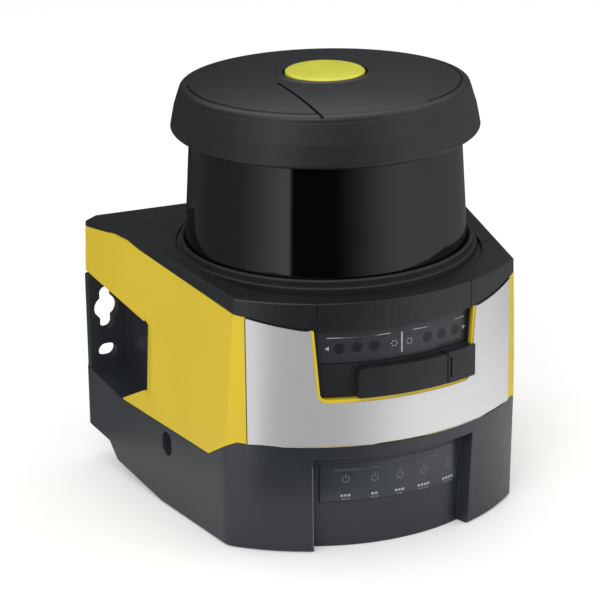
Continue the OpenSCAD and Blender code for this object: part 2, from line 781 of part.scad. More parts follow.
module power_board() {
    color("#1f5a3c") difference() {
        circuit_board(board_w, board_y0, board_y1, board_z1);
        for (p = leg_xy) translate([p.x, p.y, 0]) cylinder(r = leg_r + 0.8, h = far);
    }
    color("#24262a") {
        for (x = [9, 19]) translate([x - board_w / 2, board_y0 + 12, board_z1 + board_t])
            cylinder(r = 4, h = 10);
        translate([12, board_y0 + 3, board_z1 + board_t]) cube([10, 11, 6]);
        translate([cable_x - cable_w / 2, cable_y - 2, board_z1 + board_t]) cube([cable_w, 2, 4]);
    }
}

module chassis() {
    color("#8b8f94") difference() {
        union() {
            intersection() {
                leaning_prism(wall + fit, chassis_z, chassis_z + 3);
                translate([-far / 2, -far, 0]) cube([far, far + back_y - wall - fit, far]);
            }
            tube(seat_r, seat_r - 4, chassis_z, window_z - 1.8);
            // ledge that carries the monitor board
            intersection() {
                tube(ledge_r, seat_r - 1, monitor_z - 2, monitor_z);
                leaning_prism(wall + fit, 0, far);
            }
            for (a = [45 : 90 : 315]) rotate([0, 0, a]) translate([seat_r - 1, -1.5, chassis_z])
                cube([7, 3, monitor_z - 1 - chassis_z]);
            for (p = leg_xy) translate([p.x, p.y, floor_z + plate_t])
                cylinder(r = leg_r, h = chassis_z - floor_z - plate_t + 1);
            at_sides() translate([rear_leg_x, rear_leg_y, arm_floor(rear_leg_y + leg_r) + 0.1])
                cylinder(r = leg_r, h = chassis_z + 1 - arm_floor(rear_leg_y + leg_r));
        }
        translate([0, 0, chassis_z - 1]) cylinder(r = rotor_r + 1.5, h = 5);
        for (p = leg_xy) translate([p.x, p.y, floor_z]) cylinder(r = 1.4, h = 12);
        // slot for the ribbon cable
        translate([-cable_w / 2 - 1, bracket_y + bracket_t - 0.1, chassis_z - 1])
            cube([cable_w + 2, 1.6, 5]);
        // room for the display in the front
        front_strip(90, front_r - 13.5, -open_b - 4, open_b + 4, 0, monitor_z - 3);
    }
}

flange_z = chassis_z + 3;
flange_r = 28;
flange_t = 2.5;
hub_r = 7.5;
hub_l = 10;
race_r = 5.6;
race_h = 2.5;
hub_z0 = flange_z - hub_l;

module motor_flange() {
    color("#a9adb2") difference() {
        union() {
            translate([0, 0, flange_z]) cylinder(r = flange_r, h = flange_t);
            translate([0, 0, hub_z0]) cylinder(r = hub_r, h = hub_l + 1);
        }
        translate([0, 0, hub_z0 - 1]) cylinder(r = race_r + touch, h = race_h + 1);
        translate([0, 0, hub_z0 - 1]) cylinder(r = shaft_r + 1, h = 30);
        translate([0, 0, flange_z + flange_t - race_h]) cylinder(r = race_r + touch, h = 10);
    }
}

module motor_bearings() {
    color("#d0d3d6") {
        tube(race_r, shaft_r + run, hub_z0, hub_z0 + race_h);
        tube(race_r, shaft_r + run, flange_z + flange_t - race_h, flange_z + flange_t);
    }
}

module motor_stator() {
    color("#9a6a3a") difference() {
        union() {
            tube(hub_r + 4, hub_r + touch, hub_z0 + 2, flange_z - 1);
            for (k = [0 : 8]) rotate([0, 0, 40 * k]) {
                translate([hub_r + 2, -2, hub_z0 + 3]) cube([10, 4, 5]);
                translate([18, -4.4, hub_z0 + 2.6]) cube([1.8, 8.8, 5.8]);
            }
        }
        translate([0, 0, hub_z0]) cylinder(r = hub_r + touch, h = 20);
    }
}

rotor_z0 = hub_z0 - 2.6;

module motor_rotor() {
    color("#6d7176") difference() {
        translate([0, 0, rotor_z0]) cylinder(r = rotor_r, h = flange_z - 0.8 - rotor_z0);
        translate([0, 0, rotor_z0 + 2]) cylinder(r = rotor_r - 3, h = 30);
        translate([0, 0, rotor_z0 - 1]) cylinder(r = shaft_r + touch, h = 10);
        for (k = [0 : 5]) rotate([0, 0, 60 * k]) translate([13, 0, rotor_z0 - 1]) cylinder(r = 3.4, h = 10);
    }
}

module motor_shaft() {
    color("#d8dadd") translate([0, 0, rotor_z0 - 1.2]) cylinder(r = shaft_r, h = holder_z + 4 - rotor_z0);
}

code_z = flange_z + flange_t + 1.5;
holder_z = code_z + 1.2;
stage_z = window_z - 1;         // underside of the mirror's turntable
mirror_z = stage_z + 3 + mirror_l / 2 * sin(45) + 1.6;

module encoder_disc() {
    color("#5e6266") difference() {
        tube(19, shaft_r + touch, code_z, code_z + 1.2);
        for (k = [0 : 23]) rotate([0, 0, 15 * k]) translate([16, -0.6, code_z - 1]) cube([2, 1.2, 4]);
    }
}

module encoder_sensor() {
    color("#24262a") rotate([0, 0, 60]) difference() {
        translate([13.5, -4, flange_z + flange_t]) cube([10, 8, 5]);
        translate([12, -5, code_z - 0.7]) cube([8, 10, 2.6]);
    }
}

// Face of the back rest at height z, leaning back by 45 degrees
function rest_y(z) = z - mirror_z - 0.6 * sqrt(2) + 0.02;

module mirror_holder() {
    color("#2f3236") difference() {
        union() {
            translate([0, 0, holder_z]) cylinder(r = 8, h = stage_z - holder_z + 1);
            translate([0, 0, stage_z]) cylinder(r = flange_r, h = 3);
            // sloping back rest and two gussets
            intersection() {
                side_slab([[rest_y(stage_z + 2), stage_z + 2], [16.6, stage_z + 2], [20, mirror_z + 15],
                    [rest_y(mirror_z + 15), mirror_z + 15]], mirror_w);
                translate([0, 0, stage_z + 1]) cylinder(r = flange_r - 1, h = 60);
            }
        }
        // pocket that leaves two gussets behind the mirror
        side_slab([[rest_y(stage_z + 3.4) + 5, stage_z + 3.4], [30, stage_z + 3.4], [30, mirror_z + 20],
            [rest_y(mirror_z + 20) + 5, mirror_z + 20]], mirror_w - 7);
        translate([0, 0, holder_z - 1]) cylinder(r = shaft_r + touch, h = 5.2);
    }
}

module scan_mirror() {
    color("#dfe6ea") translate([0, 0, mirror_z]) rotate([45, 0, 0])
        translate([-mirror_w / 2, -mirror_l / 2, 0.6]) cube([mirror_w, mirror_l, 2]);
}

optics_z = lip_z + 2.6;         // underside of the bridge that carries the lens

module optics_bracket() {
    color("#7c8085") difference() {
        union() {
            translate([-bracket_w / 2, 0, 0]) {
                translate([0, bracket_y, chassis_z + 3]) cube([bracket_w, bracket_t, optics_z - chassis_z]);
                translate([-4, bracket_y, chassis_z + 3]) cube([bracket_w + 8, bracket_t, 2.5]);
                translate([0, lens_r - 2, optics_z])
                    cube([bracket_w, bracket_y + bracket_t - lens_r + 2, 3]);
            }
            translate([0, 0, optics_z]) cylinder(r = lens_r + 11, h = 3);
        }
        translate([0, 0, optics_z - 1]) cylinder(r = lens_r + 0.1, h = 6);
        translate([6 - bracket_w / 2, bracket_y - 3, chassis_z + 9])
            cube([bracket_w - 12, 12, window_h / 2]);
    }
}

module receiver_lens() {
    color([0.75, 0.85, 0.9, 0.6]) difference() {
        rotate_extrude() polygon(concat(
            [[0, optics_z + 4], [lens_r + 1.4, optics_z + 4], [lens_r + 1.4, optics_z + 3 + touch],
                [lens_r, optics_z + 3 + touch], [lens_r, optics_z]],
            [for (i = [1 : 6]) [lens_r * cos(i * 15), optics_z - 4.5 * sin(i * 15)]]));
        translate([0, 0, optics_z - 10]) cylinder(r = tube_r + 0.1, h = 20);
    }
}

barrel_z = optics_z + 3;

module lens_barrel() {
    color("#2f3236") {
        tube(lens_r + 3.5, lens_r + 1.5, barrel_z, barrel_z + 5);
        // spokes that hold the transmitter
        difference() {
            union() {
                for (a = [0, 120, 240]) rotate([0, 0, a])
                    translate([tube_r, -1, barrel_z + 2.4]) cube([lens_r - tube_r + 2, 2, 2.6]);
                tube(tube_r + 2, tube_r + touch, barrel_z + 2.4, barrel_z + 5);
            }
            translate([0, 0, barrel_z]) cylinder(r = tube_r + touch, h = 10);
        }
    }
}

module transmitter_tube() {
    color("#a9adb2") difference() {
        translate([0, 0, optics_z - 8]) cylinder(r = tube_r, h = barrel_z + 6.2 - optics_z + 8);
        translate([0, 0, optics_z - 9]) cylinder(r = tube_r - 1, h = 4);
        translate([0, 0, optics_z - 9]) cylinder(r = tube_r - 2, h = 40);
    }
}

module collimator_lens() {
    r = tube_r - 1 - touch;
    color([0.75, 0.85, 0.9, 0.6]) translate([0, 0, optics_z - 7.6]) rotate_extrude()
        polygon(concat([[0, 2.6], [r, 2.6]], [for (i = [0 : 5]) [r * cos(i * 18), 1 - sin(i * 18)]]));
}

module laser_diode() {
    color("#c9a94a") translate([0, 0, barrel_z + 6.2]) {
        cylinder(r = 2.8, h = 1.2);
        translate([0, 0, -1.6]) cylinder(r = 1.8, h = 2);
    }
}

module receiver_board() {
    color("#1f5a3c") tube(lens_r + 1.5, tube_r + 0.4, barrel_z + 5, barrel_z + 5 + board_t);
}

// Flat cable from the receiver down the back of the bracket and forward to the boards
module flex_cable() {
    w = cable_w;
    t = 0.4;
    y = bracket_y + bracket_t + 0.4;
    under = chassis_z - 1.2;
    top = barrel_z + 5 + board_t;
    color("#b5772a") {
        translate([-w / 2, lens_r - 3, top + touch]) cube([w, y + t - lens_r + 3, t]);
        translate([-w / 2, y, under]) cube([w, t, top + touch + t - under]);
        translate([-w / 2, y + t - w, under]) cube([cable_x + w, w, t]);
        translate([cable_x - w / 2, cable_y + touch, under]) cube([w, y - cable_y, t]);
        translate([cable_x - w / 2, cable_y + touch, board_z1 + board_t + touch])
            cube([w, t, under - board_z1 - board_t]);
    }
}

module monitor_board() {
    color("#1f5a3c") difference() {
        intersection() {
            tube(ledge_r, seat_r + fit, monitor_z, monitor_z + board_t);
            leaning_prism(wall + fit, 0, far);
        }
        translate([-5, seat_r - 8, 0]) cube([10, 20, far]);
    }
}

module monitor_sensors() {
    color("#24262a") for (k = [-4 : 4]) rotate([0, 0, 30 * k])
        translate([-1.5, -seat_r - 3.4, monitor_z + board_t]) cube([3, 2.8, 1.6]);
}

module unit_plug() {
    color("#26282b") difference() {
        translate([-13, -11, joint_z - 4]) cube([26, 10, board_z0 - joint_z + 4]);
        translate([-11, -9, joint_z - 5]) cube([22, 6, 5]);
    }
}

module unit_seal() {
    color("#1c1d1f") translate([0, -6, joint_z - 0.5]) difference() {
        translate([-19, -10, 0]) cube([38, 20, 0.5 + fit]);
        translate([-16.5, -7.5, -1]) cube([33, 15, 3]);
    }
}

// ---- connection unit --------------------------------------------------------

cavity_d = 9.5;
cavity_y = 30;
cavity_z = joint_z - 4;
recess_y = back_y - 21;         // front wall of the recess around the plugs
recess_w = body_w - 40;
plug_y = back_y - 10;
plate_x = side_x(-26, cavity_d + 9.4);
plate_xy = [for (s = [-1, 1], y = [20, -26]) [s * plate_x, y]];

// Drafted block under the scanner unit
module base_blank() {
    hull() {
        linear_extrude(height = 0.01) polygon(plan(0.6, base_draft));
        translate([0, 0, 0.6]) linear_extrude(height = 0.01) polygon(plan(0, base_draft));
        translate([0, 0, joint_z - 0.01]) linear_extrude(height = 0.01) polygon(plan(0, 0));
    }
}

function pocket_floor(y) = skirt_z - seam + (y - tail_y) * tan(pocket_a);

module connection_unit() {
    color("#4a4e55") difference() {
        union() {
            intersection() {
                base_blank();
                side_slab([[front_y - 5, -1], [back_y + 5, -1], [back_y + 5, pocket_floor(back_y + 5)],
                    [tail_y + fit, pocket_floor(tail_y)], [corner_y + 13, skirt_z - seam],
                    [corner_y - 1, joint_z], [front_y - 5, joint_z]]);
            }
            // inner deck that carries the scanner unit
            intersection() {
                body_prism(wall + fit, skirt_z - 2, joint_z);
                side_slab([[-far, 0], [-far, joint_z], [pocket_y, joint_z], [tail_y, skirt_z], [tail_y, 0]]);
            }
            // upright part between the ears
            side_slab([[pocket_y + 0.8, skirt_z - 4], [pocket_y + 0.8, arm_under(pocket_y)],
                [back_y, arm_under(back_y)], [back_y, skirt_z - 4]], spine_w);
            // mounting ears
            intersection() {
                body_prism(0.2, skirt_z - 2, far);
                side_slab([[back_y - ear_t, 0], [back_y, 0], [back_y, arm_under(back_y - ear_t)],
                    [back_y - ear_t, arm_under(back_y - ear_t)]]);
            }
        }
        base_hollow();
        front_recess();
        mount_holes();
        at_sides() lock_bore();
        // ports of the plugs
        for (k = [-1 : 1]) translate([k * plug_pitch, plug_y, plug_z - 5])
            cylinder(r = plug_d / 2 - 0.6, h = 18);
        // port of the socket, and the rebate of the seal around it
        translate([-13.3, -11.3, 0]) cube([26.6, 10.6, far]);
        translate([-19.3, -16.3, joint_z - 0.5]) cube([38.6, 20.6, 2]);
        // slots for the scanner unit's lock tongues
        at_sides() translate([tongue_x - 0.3, lock_y - 6.3, joint_z - 20]) cube([tongue_t + 0.6, 12.6, 30]);
    }
    // pillars that take the closing plate's screws and hold the board up
    color("#4a4e55") for (p = plate_xy) difference() {
        union() {
            translate([p.x, p.y, iface_z + board_t]) cylinder(r = 5, h = cavity_z - iface_z - board_t + 0.5);
            translate([p.x, p.y, plate_t]) cylinder(r = 3, h = iface_z);
        }
        translate([p.x, p.y, -1]) cylinder(r = 1.3, h = 12);
    }
}

function arm_under(y) = pocket_z - fit + (y - pocket_y) * tan(arm_a);

// Everything that opens the connection unit from below
module base_hollow() {
    intersection() {
        body_prism(cavity_d, -1, cavity_z);
        side_slab([[-far, -1], [-far, cavity_z], [pocket_y, cavity_z], [pocket_y + 4, skirt_z],
            [cavity_y, skirt_z], [cavity_y, -1]]);
    }
    // hollow of the upright part
    translate([-spine_w / 2 + wall, pocket_y + wall + fit, plug_z + wall])
        cube([spine_w - 2 * wall, pocket_d - 2 * wall - fit, pocket_z - 2 * wall - plug_z - fit]);
    // recess around the plugs
    side_slab([[back_y + 5, -5], [back_y + 5, plug_z], [recess_y + 3, plug_z], [recess_y, plug_z - 4],
        [recess_y, -5]], recess_w);
    // raised rear at the sides
    side_slab([[back_y + 5, -5], [back_y + 5, rear_z + 1.2], [back_y - 16, rear_z - 1.5],
        [back_y - 21.5, 5], [4, 0.5], [-5, 0], [-5, -5]]);
}

// Recessed panel with the signal lamps
module front_recess() {
    intersection() {
        front_wedge(-panel_a, panel_a, -1, panel_z);
        difference() {
            translate([0, 0, -1]) cylinder(r = far, h = panel_z + 1);
            translate([0, front_c, -2])
                cylinder(r1 = front_r - panel_d - base_draft, r2 = front_r - panel_d, h = joint_z + 2);
        }
    }
    // seat of the lamp window, and the port behind it
    front_strip(front_r, lamp_r - 1.5, -panel_a + 1.4, panel_a - 1.4, lamp_z0, lamp_z1);
    front_strip(front_r, front_r - 20, -panel_a + 4, panel_a - 4, lamp_z0 + 2, lamp_z1 - 2);
}

// Keyholes and slots in the ears
module mount_holes() {
    key_w = screw_d - 0.6;      // the keyholes' lobes hold the screws closely
    for (s = [-1, 1]) translate([s * hole_pitch / 2, 0, 0]) {
        ear_hole(0, key_z, key_d);
        for (t = [-1, 1]) ear_hole(0, key_z + t * (key_h - key_w) / 2, key_w);
        translate([-key_w / 2, back_y - ear_t - 1, key_z - (key_h - key_w) / 2])
            cube([key_w, ear_t + 2, key_h - key_w]);
        for (t = [-1, 1]) ear_hole(t * (slot_l - screw_d) / 2, slot_z, screw_d);
        translate([-(slot_l - screw_d) / 2, back_y - ear_t - 1, slot_z - screw_d / 2])
            cube([slot_l - screw_d, ear_t + 2, screw_d]);
    }
}

module ear_hole(x, z, d) {
    translate([x, back_y + 1, z]) rotate([90, 0, 0]) cylinder(d = d, h = ear_t + 2);
}

lock_in = 3.4;      // depth of the lock screws below the side face

module lock_bore() {
    x = side_x(lock_y);
    translate([x - 9.4, lock_y, lock_z]) rotate([0, 90, 0]) cylinder(d = lock_d + 0.16, h = 30);
    translate([x - 30, lock_y, lock_z]) rotate([0, 90, 0]) cylinder(d = 4.2, h = 30);
    // oval mouth, tall enough for a ball-ended key held askew
    for (t = [-1, 1]) translate([x - lock_in + 0.2, lock_y, lock_z + t * (lock_h - lock_d - 0.3) / 2])
        rotate([0, 90, 0]) cylinder(d = lock_d + 0.3, h = 30);
    translate([x - lock_in + 0.2, lock_y - (lock_d + 0.3) / 2, lock_z - (lock_h - lock_d - 0.3) / 2])
        cube([30, lock_d + 0.3, lock_h - lock_d - 0.3]);
}

// Quarter-turn screw whose flattened tip locks behind a tongue
module lock_screw() {
    translate([side_x(lock_y), lock_y, lock_z]) rotate([0, 90, 0]) difference() {
        union() {
            translate([0, 0, -9.3]) cylinder(d = lock_d, h = 9.3 - lock_in);
            translate([0, 0, -15]) cylinder(d = 4, h = 10);
            intersection() {
                translate([0, 0, -20]) cylinder(d = 4, h = 10);
                translate([-1.3, -3, -far]) cube([2.6, 6, far]);
            }
        }
        translate([0, 0, -lock_in - 3]) cylinder(r = lock_d / 2 - 0.95, h = 10, $fn = 6);
    }
}

// Steel tongues under the scanner unit, open below so that they slide over the screws' tips
module lock_tongues() {
    color("#b8bbbe") at_sides() difference() {
        union() {
            translate([tongue_x, lock_y - 6, lock_z - 5])
                cube([tongue_t, 12, floor_z + plate_t + tongue_t - lock_z + 5]);
            translate([tongue_x - 6, lock_y - 6, floor_z + plate_t]) cube([7, 12, tongue_t]);
        }
        translate([tongue_x - 1, lock_y, lock_z]) rotate([0, 90, 0]) cylinder(d = 4.16, h = 5);
        translate([tongue_x - 1, lock_y - 1.4, lock_z - 10]) cube([5, 2.8, 10]);
    }
}

module lock_screw_left() {
    color("#8b8f94") mirror([1, 0, 0]) lock_screw();
}

module lock_screw_right() {
    color("#8b8f94") lock_screw();
}

module base_plate() {
    color("#45484d") difference() {
        intersection() {
            body_prism(cavity_d + fit, 0, plate_t);
            translate([-far / 2, -far, -1]) cube([far, far + cavity_y - fit, far]);
        }
        for (p = plate_xy) {
            translate([p.x, p.y, -1]) cylinder(r = 1.5, h = 10);
            translate([p.x, p.y, -1]) cylinder(r = 3.1, h = 2.2);
        }
    }
}

module base_screws() {
    color("#b8bbbe") for (p = plate_xy) translate([p.x, p.y, 0.3]) difference() {
        union() {
            cylinder(r = 2.9, h = 0.9);
            cylinder(r = 1.28, h = 8);
        }
        translate([0, 0, -1]) cylinder(r = 1.2, h = 2.6, $fn = 6);
    }
}

iface_z = 13;

module interface_board() {
    color("#1f5a3c") difference() {
        circuit_board(2 * side_x(-34, cavity_d + 3.1), -34, 26, iface_z);
        for (p = plate_xy) translate([p.x, p.y, 0]) cylinder(r = 3.1, h = far);
    }
    color("#24262a") {
        translate([-20, 4, iface_z + board_t]) cube([14, 14, 2]);
        translate([8, 8, iface_z + board_t]) cube([10, 8, 3]);
    }
}

module unit_socket() {
    color("#26282b") {
        difference() {
            translate([-13, -11, iface_z + board_t]) cube([26, 10, joint_z - 4.6 - iface_z - board_t]);
            for (k = [-4 : 4]) translate([2.4 * k, -6, joint_z - 8]) cylinder(r = 0.8, h = 10);
        }
    }
}

lamp_r = front_r - panel_d - 0.7;
lamp_a = 15.8;      // half angle over which the lamps are spread
lamp_half = 23;     // half width of the lamp board
lamp_board_y = front_c - sqrt(pow(front_r - cavity_d, 2) - lamp_half * lamp_half) + fit;

module lamp_window() {
    color([0.16, 0.17, 0.19, 0.8])
        front_strip(lamp_r, lamp_r - 1.4, -panel_a + 1.7, panel_a - 1.7, lamp_z0 + 0.2, lamp_z1 - 0.2);
}

module signal_lamps() {
    color("#d8dadc") for (k = [0 : lamp_n - 1]) let (a = lamp_a * (2 * k / (lamp_n - 1) - 1))
        translate([lamp_r * sin(a), lamp_board_y, lamp_z0 + 7.4]) rotate([90, 0, 0])
            cylinder(r = 1.5, h = lamp_board_y - front_c + (lamp_r - 1.5) * cos(a) - 0.5);
}

module lamp_board() {
    color("#1f5a3c") translate([-lamp_half, lamp_board_y, iface_z + board_t])
        cube([2 * lamp_half, board_t, 13]);
}

module m12_plug(x) {
    translate([x, plug_y, plug_z]) {
        difference() {
            union() {
                translate([0, 0, -8.4]) cylinder(d = plug_d, h = 8.4 - 1.6);
                translate([0, 0, -1.6]) cylinder(r = 8, h = 1.6, $fn = 6);
                translate([0, 0, -0.4]) cylinder(r = plug_d / 2 - 0.8, h = 12);
            }
            translate([0, 0, -9]) cylinder(r = plug_d / 2 - 1.2, h = 6.4);
        }
        for (a = [45 : 90 : 315]) rotate([0, 0, a]) translate([2.4, 0, -7]) cylinder(r = 0.5, h = 6);
    }
}

module power_plug() {
    color("#b9bdc1") m12_plug(0);
}

module network_plugs() {
    color("#b9bdc1") for (s = [-1, 1]) m12_plug(s * plug_pitch);
}

module pressure_vent() {
    color("#1c1d1f") translate([plug_pitch / 2, plug_y, plug_z - 1.4]) cylinder(r = 3.2, h = 1.4);
}

module memory_module() {
    color("#2f3236") translate([10 - plate_x, -30, iface_z + board_t]) cube([16, 12, 5]);
}

cap();
cap_disc();
cap_gasket();
window();
window_gasket();
window_ring();
housing();
front_film();
top_cover();
visor();
display_carrier();
display_window();
display_module();
display_lamps();
display_board();
usb_cover();
usb_hinge_pin();
usb_socket();
floor_plate();
board_spacers();
main_board();
power_board();
chassis();
motor_flange();
motor_bearings();
motor_stator();
motor_rotor();
motor_shaft();
encoder_disc();
encoder_sensor();
mirror_holder();
scan_mirror();
optics_bracket();
lens_barrel();
receiver_lens();
transmitter_tube();
collimator_lens();
laser_diode();
receiver_board();
flex_cable();
monitor_board();
monitor_sensors();
unit_plug();
unit_seal();
lock_tongues();
connection_unit();
base_plate();
base_screws();
interface_board();
unit_socket();
lamp_window();
signal_lamps();
lamp_board();
lock_screw_left();
lock_screw_right();
power_plug();
network_plugs();
pressure_vent();
memory_module();
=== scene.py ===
import math

import bmesh
import bpy
from mathutils import Matrix, Vector
from mathutils.bvhtree import BVHTree


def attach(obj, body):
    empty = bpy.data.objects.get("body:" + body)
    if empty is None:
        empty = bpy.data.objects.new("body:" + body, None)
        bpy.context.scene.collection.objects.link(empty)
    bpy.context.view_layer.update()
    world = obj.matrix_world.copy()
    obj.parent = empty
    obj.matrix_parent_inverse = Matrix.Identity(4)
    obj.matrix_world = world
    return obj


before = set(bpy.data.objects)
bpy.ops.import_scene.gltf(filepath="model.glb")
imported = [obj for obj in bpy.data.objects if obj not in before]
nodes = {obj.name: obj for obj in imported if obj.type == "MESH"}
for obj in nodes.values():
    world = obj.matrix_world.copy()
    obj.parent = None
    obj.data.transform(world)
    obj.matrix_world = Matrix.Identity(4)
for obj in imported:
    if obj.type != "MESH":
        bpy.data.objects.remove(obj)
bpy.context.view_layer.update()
mm = 0.001
print("frame loaded:", len(nodes), "nodes")


# camera

viewSet = {
    "azimuth": -22.95,      # degrees, to the left of straight ahead
    "elevation": 19.42,
    "distance": 0.90067,    # metres from the aim point
    "aim": (0, 0, 0.075),
    "roll": -0.436,         # degrees
    "lens": 157.54,
    "shift": (-0.0442, -0.0379),
}


def addCamera(v):
    a, e = math.radians(v["azimuth"]), math.radians(v["elevation"])
    aim = Vector(v["aim"])
    data = bpy.data.cameras.new("viewCamera")
    data.lens = v["lens"]
    data.shift_x, data.shift_y = v["shift"]
    data.clip_start = 0.01
    camera = bpy.data.objects.new("viewCamera", data)
    bpy.context.scene.collection.objects.link(camera)
    place = aim + v["distance"] * Vector((math.sin(a) * math.cos(e), -math.cos(a) * math.cos(e), math.sin(e)))
    turn = (aim - place).to_track_quat("-Z", "Y").to_matrix().to_4x4()
    camera.matrix_world = Matrix.Translation(place) @ turn @ Matrix.Rotation(math.radians(v["roll"]), 4, "Z")
    bpy.context.scene.camera = camera


addCamera(viewSet)
bpy.context.scene.view_settings.view_transform = "Standard"
print("camera placed")


class Wire:
    # one socket of a node tree, with arithmetic that adds Math nodes

    def __init__(self, tree, socket=None):
        self.tree = tree
        self.socket = socket

    def node(self, kind, settings=None, sockets=None, out=0):
        made = self.tree.nodes.new("ShaderNode" + kind)
        for name, value in (settings or {}).items():
            if name == "stops":
                ramp = made.color_ramp.elements
                while len(ramp) < len(value):
                    ramp.new(0.5)
                for stop, (place, shade) in zip(ramp, value):
                    stop.position = place
                    stop.color = shade
            else:
                setattr(made, name, value)
        for name, value in (sockets or {}).items():
            target = made.inputs[name]
            if isinstance(value, Wire):
                self.tree.links.new(value.socket, target)
            else:
                target.default_value = value
        return Wire(self.tree, made.outputs[out])

    def math(self, operation, *others):
        values = (self,) + others
        return self.node("Math", {"operation": operation}, dict(enumerate(values)))

    def __add__(self, other):
        return self.math("ADD", other)

    def __radd__(self, other):
        return self.math("ADD", other)

    def __sub__(self, other):
        return self.math("SUBTRACT", other)

    def __rsub__(self, other):
        return self.node("Math", {"operation": "SUBTRACT"}, {0: other, 1: self})

    def __mul__(self, other):
        return self.math("MULTIPLY", other)

    def __rmul__(self, other):
        return self.math("MULTIPLY", other)

    def __truediv__(self, other):
        return self.math("DIVIDE", other)

    def __lt__(self, other):
        return self.math("LESS_THAN", other)

    def rise(self, low, high):
        # 0 below low, 1 above high, with a soft step between
        return self.node("MapRange", {"interpolation_type": "SMOOTHSTEP"},
                         {"Value": self, "From Min": low, "From Max": high})

    def between(self, low, high, soft):
        return self.rise(low - soft, low + soft) * (1 - self.rise(high - soft, high + soft))


def shade(r, g, b):
    # display colour, 0 to 255, as the renderer's linear colour
    def one(v):
        v = v / 255
        return v / 12.92 if v <= 0.04045 else ((v + 0.055) / 1.055) ** 2.4
    return (one(r), one(g), one(b), 1)


def blend(wire, amount, first, second):
    # mixes two colours, each a tuple or a wire
    return wire.node("Mix", {"data_type": "RGBA"}, {0: amount, 6: first, 7: second}, out=2)


class Finish:
    # one material, with places on the part in millimetres

    def __init__(self, name, **uniform):
        self.material = bpy.data.materials.new(name)
        self.material.use_nodes = True
        self.tree = self.material.node_tree
        self.shader = self.tree.nodes["Principled BSDF"]
        root = Wire(self.tree)
        self.place = root.node("VectorMath", {"operation": "SCALE"},
                               {0: root.node("TexCoord", out=3), "Scale": 1000})
        parts = self.place.node("SeparateXYZ", sockets={0: self.place})
        outs = parts.socket.node.outputs
        self.x, self.y, self.z = (Wire(self.tree, out) for out in outs)
        for name, value in uniform.items():
            self.shader.inputs[name.replace("_", " ")].default_value = value

    def noise(self, size, detail=2, stretch=(1, 1, 1), roughness=0.5, out=0):
        # size is the width of one grain in millimetres
        place = self.place.node("VectorMath", {"operation": "MULTIPLY"}, {0: self.place, 1: stretch})
        return self.place.node("TexNoise", {}, {"Vector": place, "Scale": 1 / size, "Detail": detail,
                                                "Roughness": roughness}, out=out)

    def feed(self, name, value):
        target = self.shader.inputs[name]
        if isinstance(value, Wire):
            self.tree.links.new(value.socket, target)
        else:
            target.default_value = value

    def relief(self, height, depth, edge=0.0):
        # depth in millimetres; edge rounds sharp corners by that radius
        sockets = {"Height": height, "Distance": depth * mm, "Strength": 1.0}
        if edge:
            sockets["Normal"] = height.node("Bevel", {"samples": 6}, {"Radius": edge * mm})
        self.feed("Normal", height.node("Bump", {}, sockets))


def mottled(finish, first, second, size, detail=3):
    amount = finish.noise(size, detail).rise(0.35, 0.65)
    return blend(amount, amount, first, second)


finishes = {}


# coats of the shells

# patch, grain and swell are the widths of their spots in millimetres, rough is the lowest roughness, how
# much it varies and the width of its spots, and edge is the radius that softens corners
yellowCoat = {"first": shade(222, 194, 34), "second": shade(219, 190, 30), "patch": 26,
              "rough": (0.40, 0.10, 9),
              "grain": 0.9, "detail": 3, "depth": 0.012, "edge": 0.45, "ior": 1.5}
greyCoat = {"first": shade(43, 47, 53), "second": shade(40, 44, 50), "patch": 18,
            "rough": (0.28, 0.10, 3),
            "grain": 0.45, "detail": 4, "depth": 0.02, "edge": 0.5, "ior": 1.5, "swell": 1.6}
charcoal = {"first": shade(30, 33, 36), "second": shade(27, 30, 33), "patch": 22,
            "rough": (0.32, 0.12, 2.2), "grain": 0.35, "detail": 3, "depth": 0.014, "edge": 0.35, "ior": 1.48}
blackMoulding = {"first": shade(30, 31, 34), "second": shade(25, 26, 29), "patch": 12,
                 "rough": (0.42, 0.16, 1.8), "grain": 0.3, "detail": 3, "depth": 0.012, "edge": 0.25, "ior": 1.48}


def makeCoat(name, s):
    f = Finish(name, IOR=s["ior"])
    f.feed("Base Color", mottled(f, s["first"], s["second"], s["patch"]))
    lowest, spread, size = s["rough"]
    f.feed("Roughness", lowest + spread * f.noise(size))
    height = f.noise(s["grain"], s["detail"])
    if "swell" in s:
        height = height + 0.4 * f.noise(s["swell"], 2)
    f.relief(height, s["depth"], s["edge"])
    return f.material


lemonDisc = {"first": shade(219, 218, 70), "second": shade(212, 210, 62)}


def makeLemon(s):
    f = Finish("lemonDisc", IOR=1.5)
    f.feed("Base Color", mottled(f, s["first"], s["second"], 7))
    f.feed("Roughness", 0.30 + 0.10 * f.noise(2))
    f.relief(f.noise(0.6, 2), 0.006, 0.3)
    return f.material


silverFilm = {"first": shade(226, 226, 226), "second": shade(214, 214, 215), "lay": (0.02, 0.02, 2.2)}


def makeSilver(s):
    f = Finish("silverFilm", Metallic=0.5, IOR=1.5)
    lines = f.noise(0.5, 3, s["lay"])
    f.feed("Base Color", blend(lines, lines, s["first"], s["second"]))
    f.feed("Roughness", 0.26 + 0.10 * lines)
    f.relief(lines, 0.003)
    return f.material


# window and panes

windowSet = {"body": shade(6, 6, 7), "haze": shade(8, 8, 9)}


def makeWindow(s):
    f = Finish("scanWindow", IOR=1.58)
    f.feed("Base Color", mottled(f, s["body"], s["haze"], 40))
    f.feed("Roughness", 0.055 + 0.03 * f.noise(14))
    f.relief(f.noise(30, 1), 0.010)
    return f.material


displayPane = {"first": shade(50, 53, 58), "second": shade(46, 49, 54)}
lampPane = {"first": shade(54, 58, 64), "second": shade(51, 55, 61)}


